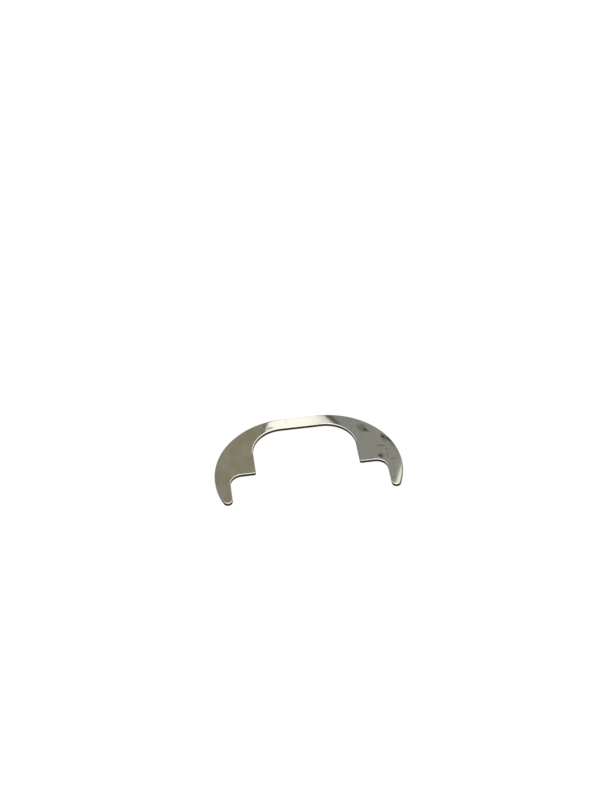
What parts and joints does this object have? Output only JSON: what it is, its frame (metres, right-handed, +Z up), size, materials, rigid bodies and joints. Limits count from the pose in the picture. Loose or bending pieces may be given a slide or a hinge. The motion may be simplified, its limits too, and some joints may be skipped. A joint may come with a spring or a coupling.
{
  "type": "shim",
  "caption": "Flat crescent shim of sheet steel: a narrow bridge, two wide cheeks with a stepped horn on each, and an opening between them for a boss to slide into.",
  "frame": {"origin": "centre of the outline's bounding box, on the bottom face", "axes": "+X along the width, +Y from the horns towards the bridge, +Z up through the sheet to the face with the rounded rim; mirror-symmetric about X = 0"},
  "size_m": [0.056, 0.0324, 0.001],
  "materials": {
    "steel": "bright cold-rolled, tumbled, with handling stains"
  },
  "bodies": {
    "root": {"shim": "steel"}
  },
  "joints": []
}
